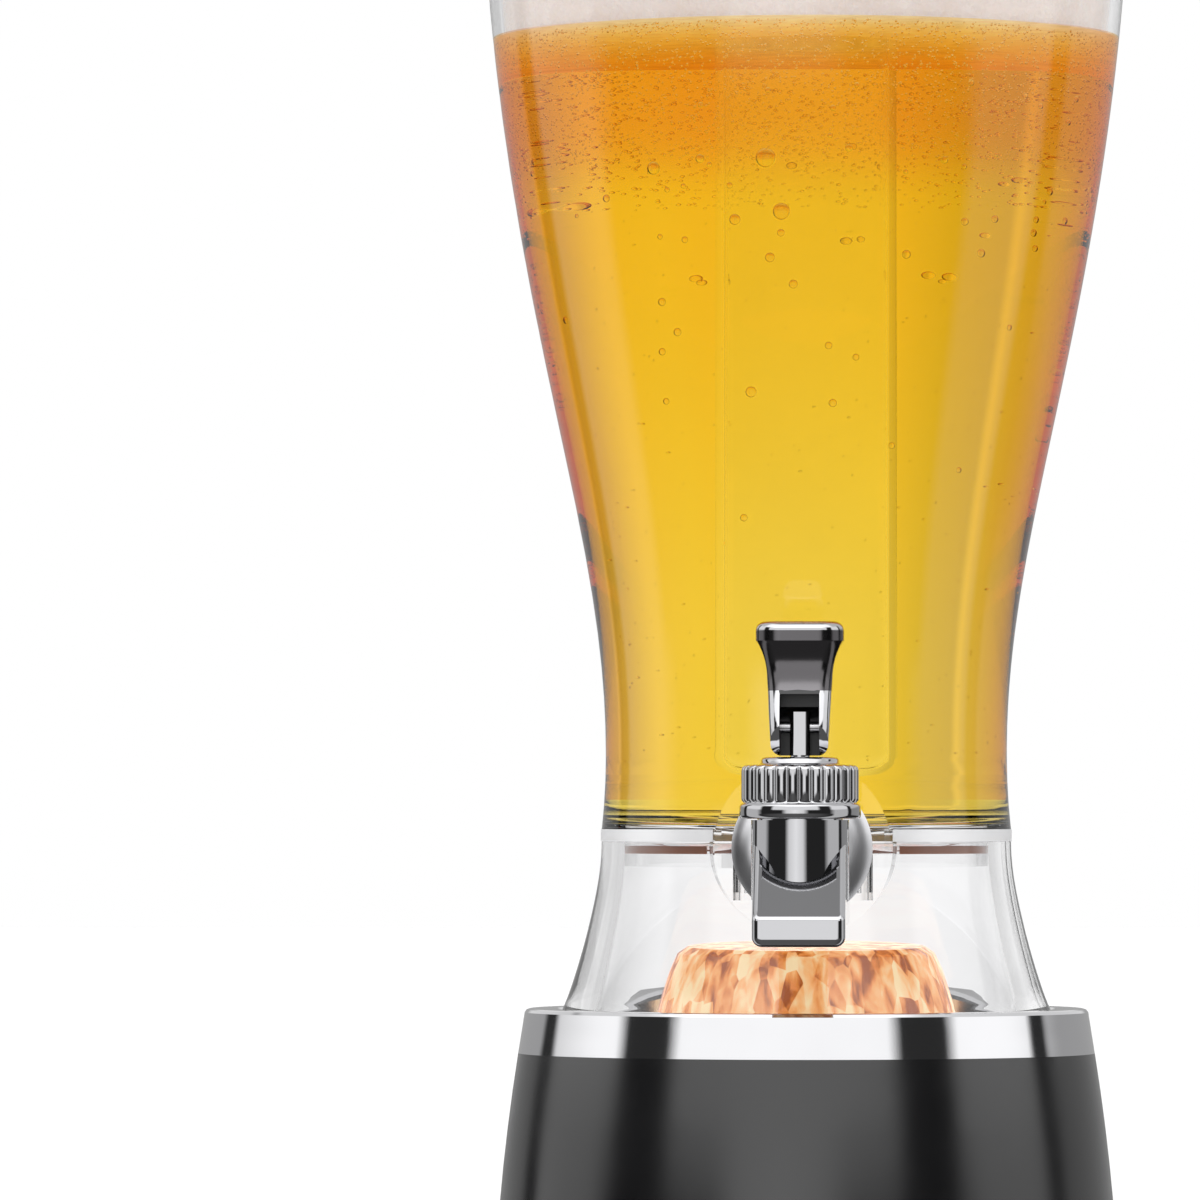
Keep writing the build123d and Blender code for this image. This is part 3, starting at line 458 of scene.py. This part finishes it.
def paint_beer_light(obj):
    """Paints the beer's light onto the clear plastic: a painted amber glow on the wall's dry side where it is
    seen at a slant, and a painted reflection of the beer on the floor's underside.
    """
    obj.data.materials.append(painted_beer_edge_glow)
    obj.data.materials.append(painted_beer_reflection_under)
    for polygon in obj.data.polygons:
        center, normal = polygon.center, polygon.normal
        radius = math.hypot(center.x, center.y)
        # the wall's dry outer faces take the painted amber edge glow
        if outwardness(center, normal) > 0.7 and radius > FLOOR_FLAT_R and WALL_FOOT < center.z < BEER_TOP:
            polygon.material_index = 2
        # the floor's underside takes the painted reflection of the beer
        if normal.z < -0.6 and radius < 44 * MM and SPIGOT_FOOT < center.z < FLOOR_Z:
            polygon.material_index = 3


def inside_vessel(center, normal):
    """Whether a face of the vessel is wetted by the beer."""
    if center.z > BEER_TOP or center.z < 145 * MM:
        return False
    if center.z > 166 * MM:
        return outwardness(center, normal) < -0.2
    return normal.z > 0.3 and math.hypot(center.x, center.y) < 50 * MM and center.z > 159 * MM


WALLS = (outer_wall, inner_wall)
wall_heights = [float(z) for z in np.linspace(184 * MM, 422 * MM, 44)]
wall_heights += [BEER_TOP, 171 * MM, 175.5 * MM, 180.2 * MM]
vessel = cut_copy("vessel_clear", "vessel", sorted(wall_heights), WALLS, 181.5 * MM, 423 * MM)
place(vessel, TOWER, "clear_wall", clear_wall, "vessel")
finish_wet(vessel, inside_vessel, clear_wet)
paint_beer_light(vessel)
WATER_TOP = 405 * MM
tube = cut_copy("ice_tube_clear", "ice_tube", [BEER_TOP, WATER_TOP])
place(tube, "ice_tube", "clear_tube", clear_wall, "ice_tube")
finish_wet(tube, lambda center, normal: center.z < WATER_TOP, clear_tube)
water_side = 16.3 * MM - GAP
water_outline = [(0, tube_low.z + 2.2 * MM), (water_side - 4 * MM, tube_low.z + 2.2 * MM)]
water_outline += [(water_side, tube_low.z + 6.2 * MM), (water_side, WATER_TOP), (0, WATER_TOP)]
water = lathe("ice_water", water_outline, segments=96)
place(water, "ice_tube", "clear_tube", absorbing("ice_water_finish", (0.3, 2.6, 18.0)))


# ------------------------------------------------------------------ bubbles
def ball(subdivisions):
    """Corners and faces of a unit ball."""
    work = bmesh.new()
    bmesh.ops.create_icosphere(work, subdivisions=subdivisions, radius=1.0)
    corners = np.array([v.co for v in work.verts])
    faces = np.array([[v.index for v in f.verts] for f in work.faces])
    work.free()
    return corners, faces


def bubble_cloud(name, spots, subdivisions, material):
    """One mesh of many small balls; the spots are (x, y, z, radius)."""
    corners, faces = ball(subdivisions)
    verts = np.concatenate([corners * r + (x, y, z) for x, y, z, r in spots])
    links = np.concatenate([faces + i * len(corners) for i in range(len(spots))])
    cloud = mesh_object(name, verts, links.tolist())
    return place(cloud, TOWER, "clear_wall", material)


def near_wall(height, size, deepest):
    """A bubble somewhere round the vessel, from just inside the wall to the deepest inset in millimetres."""
    turn = dice.uniform(-math.pi, math.pi)
    radius = float(inner_wall(height)) - (size + dice.uniform(0.3, deepest) * MM)
    return (radius * math.sin(turn), -radius * math.cos(turn), height, size)


BUBBLE_IOR = 0.86  # softer than air in beer, like the faint rings in the photo
bubble_finish = clear("bubble_finish", BUBBLE_IOR, rough=0.02, tint=(1.0, 0.93, 0.8))
dice = random.Random(7)
small = []
for i in range(9000):
    height = BEER_TOP - 0.8 * MM - dice.random() ** 1.3 * 36 * MM
    small.append(near_wall(height, dice.uniform(0.18, 0.42) * MM, 5))
for i in range(420):
    height = dice.uniform(180 * MM, 345 * MM)
    small.append(near_wall(height, dice.uniform(0.16, 0.34) * MM, 20))
bubble_cloud("fine_bubbles", small, 1, bubble_finish)
# the large bubbles that stand out near the front, as (x, height, radius) in millimetres
large = []
for x, z, size in [
    (-9, 339, 2.7), (-5, 325, 2.3), (-38, 337, 1.8), (-8, 313, 1.3), (-2, 306, 1.2), (-13, 278, 1.5),
    (8, 275, 1.1), (7, 290, 1.0), (27, 314, 1.2), (46, 315, 1.2), (-17, 323, 1.5), (-36, 302, 1.1),
    (-32, 294, 1.1), (-15, 245, 1.0), (14, 287, 0.9), (23, 264, 0.9), (-26, 339, 1.2), (-36, 289, 1.0),
    (-35, 276, 0.9), (-61, 299, 1.0), (-64, 283, 0.9), (-30, 318, 0.9), (53, 296, 0.8), (40, 258, 0.8),
]:
    height = z * MM
    radius = float(inner_wall(height)) - (size + 1.2) * MM
    large.append((x * MM, -math.sqrt(radius ** 2 - (x * MM) ** 2), height, size * MM))
for i in range(70):
    height = BEER_TOP - dice.uniform(16, 60) * MM
    large.append(near_wall(height, dice.uniform(0.6, 1.1) * MM, 9))
bubble_cloud("large_bubbles", large, 3, bubble_finish)


# ------------------------------------------------------------------ foam
def foam_material():
    material, tree, shader = new_material("foam_finish")
    # the foam's emission is a painted glow: it makes the foam shine as if strongly lit
    set_inputs(shader, Roughness=0.55, Subsurface_Weight=0.6, Subsurface_Scale=0.004, Emission_Strength=0.42)
    shader.inputs["Emission Color"].default_value = (1.0, 0.86, 0.78, 1)
    shader.inputs["Subsurface Radius"].default_value = (1.0, 0.8, 0.6)
    shade = ramp(tree, noise(tree, 6 * MM, detail=6), [(0.3, (0.80, 0.70, 0.64)), (0.7, (0.93, 0.87, 0.84))])
    tree.links.new(shade, shader.inputs["Base Color"])
    bump(tree, shader, cells(tree, 1.6 * MM)["Distance"], 0.5 * MM, strength=0.8)
    return material


def foam_underside():
    """Foam underside with a painted amber glow, standing in for the light from the beer it floats on."""
    material, tree, shader = new_material("foam_painted_glow_underside_finish")
    set_inputs(shader, Roughness=0.7, Emission_Strength=0.84)
    blotches = noise(tree, 5 * MM, detail=5)
    shade = ramp(tree, blotches, [(0.3, (0.76, 0.55, 0.27)), (0.7, (0.90, 0.71, 0.38))])
    tree.links.new(shade, shader.inputs["Emission Color"])
    body = ramp(tree, blotches, [(0.3, (0.30, 0.20, 0.12)), (0.7, (0.42, 0.30, 0.2))])
    tree.links.new(body, shader.inputs["Base Color"])
    return material


FOAM_TOP = BEER_TOP + 30 * MM
FOAM_FOOT = BEER_TOP + 0.1 * MM
FOAM_HOLE_R = TUBE_R + 0.3 * MM
foam_outline = [(FOAM_HOLE_R, FOAM_FOOT)]
foam_outline += beer_side(FOAM_FOOT, FOAM_TOP, 12, inset=0.2 * MM)
foam_outline += [
    (60 * MM, FOAM_TOP + 3 * MM),
    (35 * MM, FOAM_TOP + 4 * MM),
    (FOAM_HOLE_R, FOAM_TOP + 1 * MM),
]
foam = place(lathe("foam_head", foam_outline), TOWER, "white_seal", foam_material())
foam.data.materials.append(foam_underside())
# the foam's underside and the faces round the tube take the painted amber glow
for polygon in foam.data.polygons:
    if polygon.normal.z < -0.5 or math.hypot(polygon.center.x, polygon.center.y) < 20 * MM:
        polygon.material_index = 1


# ------------------------------------------------------------------ bonnet nut
def knurled_bonnet():
    """The bonnet nut with rounded ribs: each level is (radius, height, depth of the grooves)."""
    low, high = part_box("bonnet_nut")
    middle = (low.y + high.y) / 2
    levels = [
        (15.2, 0.0, 0), (15.7, 0.3, 0), (15.9, 0.9, 0), (15.9, 3.2, 0), (15.6, 3.8, 0), (14.9, 4.1, 0),
        (14.9, 4.4, 0.2), (15.25, 4.7, 0.85), (15.4, 5.2, 1.0), (15.4, 12.6, 1.0), (15.2, 13.4, 0.8),
        (14.6, 13.9, 0.2), (13.6, 14.1, 0), (10.8, 14.2, 0), (10.3, 14.5, 0), (10.2, 15.4, 0), (9.8, 15.95, 0),
        (9.0, 16.1, 0), (2.66, 16.1, 0), (2.66, 11.3, 0), (8.6, 11.3, 0), (8.6, 8.6, 0), (11.4, 8.6, 0),
        (11.4, 0.0, 0),
    ]
    ribs, steps = 28, 12
    verts, faces, count = [], [], ribs * steps
    scale = (high.z - low.z) / (max(height for radius, height, groove in levels) * MM)
    for radius, height, groove in levels:
        for i in range(count):
            turn = 2 * math.pi * i / count
            wave = abs(math.sin(ribs * turn / 2)) ** 0.55
            r = (radius - groove * (1 - wave)) * MM
            verts.append((r * math.cos(turn), middle + r * math.sin(turn), low.z + height * MM * scale))
    for k in range(len(levels)):
        here, above = k * count, (k + 1) % len(levels) * count
        for i in range(count):
            j = (i + 1) % count
            faces.append((here + i, here + j, above + j, above + i))
    return mesh_object("bonnet_ribbed", verts, faces)


place(knurled_bonnet(), TOWER, "tap_chrome", chrome_tap, "bonnet_nut")


# ------------------------------------------------------------------ light under the skirt
def cut_facets(tree):
    """Upright facets like cut glass, each with a shade of its own, with streaks of light across them."""
    facets = cells(tree, 3.8 * MM, randomness=0.9, stretch=(1, 1, 0.30))["Color"]
    streaks = noise(tree, 4.6 * MM, detail=3, roughness=0.5, stretch=(1, 1, 0.22), distortion=0.4)
    mixed = tree.nodes.new("ShaderNodeMath")
    mixed.operation = "MULTIPLY_ADD"
    tree.links.new(facets, mixed.inputs[0])
    mixed.inputs[1].default_value = 0.42
    tree.links.new(streaks, mixed.inputs[2])
    return mixed.outputs["Value"]


def dome_material():
    material, tree, shader = new_material("amber_dome_finish")
    set_inputs(shader, IOR=1.5, Roughness=0.14, Emission_Strength=0.86)
    facets = cut_facets(tree)
    stops = [
        (0.50, (0.36, 0.08, 0.013)), (0.61, (0.78, 0.25, 0.055)),
        (0.72, (0.96, 0.45, 0.16)), (0.90, (1.0, 0.76, 0.44)),
    ]
    tree.links.new(ramp(tree, facets, stops), shader.inputs["Emission Color"])
    dim = [(where, tuple(c * 0.3 for c in colour)) for where, colour in stops]
    tree.links.new(ramp(tree, facets, dim), shader.inputs["Base Color"])
    bump(tree, shader, facets, 0.8 * MM, strength=0.7)
    return material


def faceted_dome(name, levels, count):
    """A shell cut in diamond facets: each level's corners stand half a step round from the level below."""
    verts, faces, rows = [], [], []
    for k, (radius, height) in enumerate(levels):
        row = []
        for i in range(count):
            turn = 2 * math.pi * (i + 0.5 * (k % 2)) / count
            row.append(len(verts))
            verts.append((radius * math.cos(turn), radius * math.sin(turn), height))
        rows.append(row)
    for k, (low, high) in enumerate(zip(rows, rows[1:])):
        for i in range(count):
            j = (i + 1) % count
            if k % 2 == 0:
                faces.append((low[i], low[j], high[i]))
                faces.append((low[j], high[j], high[i]))
            else:
                faces.append((low[i], high[j], high[i]))
                faces.append((low[i], low[j], high[j]))
    top = len(verts)
    verts.append((0, 0, levels[-1][1] + 0.4 * MM))
    bottom = len(verts)
    verts.append((0, 0, levels[0][1]))
    for i in range(count):
        j = (i + 1) % count
        faces.append((rows[-1][i], rows[-1][j], top))
        faces.append((rows[0][j], rows[0][i], bottom))
    return mesh_object(name, verts, faces, smooth=False)


dome_low, dome_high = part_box("led_dome")
DOME_R = dome_high.x
DOME_H = dome_high.z - dome_low.z - 2.2 * MM
dome_levels = [
    (1.0, 0.0), (0.985, 0.14), (0.94, 0.36), (0.895, 0.56),
    (0.85, 0.76), (0.80, 0.92), (0.74, 0.98), (0.5, 0.99),
]
dome_rings = [(DOME_R * r, dome_low.z + DOME_H * z) for r, z in dome_levels]
dome = faceted_dome("faceted_dome", dome_rings, 36)
place(dome, TOWER, "amber_lens", dome_material(), "led_dome")


# ------------------------------------------------------------------ stage
def floor_material():
    material, tree, shader = new_material("floor_finish")
    set_inputs(shader, Roughness=0.8)
    shade = ramp(tree, noise(tree, 0.4), [(0.3, 0.90), (0.7, 0.92)])
    tree.links.new(shade, shader.inputs["Base Color"])
    return material


STAGE_R = 12.0
floor = lathe("floor", [(0, 0), (1.0, 0), (STAGE_R, 0)], segments=96, closed=False)
floor.data.materials.append(floor_material())
floor.visible_glossy = False
floor.visible_transmission = False


SIDE = 1.3
BACK = 0.8
GAP_LIGHT = 0.03
ROOM_TURN = 8.5
BRIGHTEST = 3.0


def sky():
    """Studio light by direction: panels in front, at the sides and behind, with dark gaps between them."""
    world = bpy.data.worlds.new("studio")
    scene.world = world
    world.use_nodes = True
    tree = world.node_tree
    coord = tree.nodes.new("ShaderNodeTexCoord")
    split = tree.nodes.new("ShaderNodeSeparateXYZ")
    turned = tree.nodes.new("ShaderNodeVectorRotate")
    turned.rotation_type = "Z_AXIS"
    turned.inputs["Angle"].default_value = math.radians(ROOM_TURN)
    tree.links.new(coord.outputs["Generated"], turned.inputs["Vector"])
    tree.links.new(turned.outputs["Vector"], split.inputs["Vector"])

    def maths(operation, *inputs):
        node = tree.nodes.new("ShaderNodeMath")
        node.operation = operation
        for i, value in enumerate(inputs):
            if isinstance(value, (int, float)):
                node.inputs[i].default_value = value
            else:
                tree.links.new(value, node.inputs[i])
        return node.outputs["Value"]

    def blend(factor, under, over):
        node = tree.nodes.new("ShaderNodeMix")
        node.data_type = "RGBA"
        tree.links.new(factor, node.inputs["Factor"])
        tree.links.new(under, node.inputs["A"])
        if isinstance(over, tuple):
            node.inputs["B"].default_value = over
        else:
            tree.links.new(over, node.inputs["B"])
        return node.outputs["Result"]

    # the turn from the tap's side, 0 to 1 for 0 to 180 degrees, and the height, 0 to 1 for -90 to 90 degrees
    across = maths("ABSOLUTE", split.outputs["X"])
    toward = maths("MULTIPLY", split.outputs["Y"], -1)
    turn = maths("DIVIDE", maths("ARCTAN2", across, toward), math.pi)
    rise = maths("ADD", maths("DIVIDE", maths("ARCSINE", split.outputs["Z"]), math.pi), 0.5)
    level = 1 / BRIGHTEST

    def panels(*stops):
        return ramp(tree, turn, [(angle / 180, value * level) for angle, value in stops])

    def from_height(angle, soft=2.0):
        return ramp(tree, rise, [((angle - soft + 90) / 180, 0.0), ((angle + soft + 90) / 180, 1.0)])

    sides = [(74, SIDE), (111, SIDE), (114, GAP_LIGHT), (121, GAP_LIGHT), (124, BACK)]
    low_sides = [(74, GAP_LIGHT), (80, 0.8), (111, 0.8), (115, GAP_LIGHT), (122, GAP_LIGHT), (126, 0.25)]
    below = panels((0, 0.16), (50, 0.10), *low_sides[:-2], (180, 0.04))
    level_low = panels((0, 1.45), (16, 1.15), (26, GAP_LIGHT), (68, GAP_LIGHT), *low_sides[1:-1], (126, 0.4))
    level_mid = panels((0, 1.28), (43, 1.28), (49, GAP_LIGHT), (68, GAP_LIGHT), *sides)
    high = panels((0, 3.0), (22, 2.9), (45, 1.9), (70, 1.9), (90, 0.9), (130, BACK))
    top = panels((0, 0.4), (180, 0.4))
    light = blend(from_height(-9), below, level_low)
    light = blend(from_height(9), light, level_mid)
    light = blend(from_height(33), light, high)
    light = blend(from_height(72, 5.0), light, top)
    # what is seen through the clear walls: white behind, dimmer towards the sides, with a bright edge
    edge_line = [(141, 0.78), (143, 0.94), (145, 0.70)]
    through = panels((0, 0.6), (98, 0.74), (138, 0.78), *edge_line, (152, 0.75), (163, 1.0))
    shown = tree.nodes.new("ShaderNodeLightPath")
    light = blend(shown.outputs["Is Transmission Ray"], light, through)
    light = blend(shown.outputs["Is Camera Ray"], light, (level, level, level, 1))
    background = tree.nodes["Background"]
    background.inputs["Strength"].default_value = BRIGHTEST
    tree.links.new(light, background.inputs["Color"])


sky()

# ------------------------------------------------------------------ camera
DISTANCE = 2.663
EYE_HEIGHT = 0.1658
AZIMUTH = math.radians(1.05)
camera_data = bpy.data.cameras.new("camera")
camera_data.sensor_width = 36
camera_data.lens = 296
camera_data.clip_end = 100
camera = link(bpy.data.objects.new("camera", camera_data))
camera.location = (math.sin(AZIMUTH) * DISTANCE, -math.cos(AZIMUTH) * DISTANCE, EYE_HEIGHT)
camera.rotation_euler = (math.radians(90 + 1.255), 0, AZIMUTH + math.radians(1.197))
scene.camera = camera

scene.view_settings.view_transform = "Standard"
scene.cycles.max_bounces = 24
scene.cycles.transmission_bounces = 24
scene.cycles.transparent_max_bounces = 24
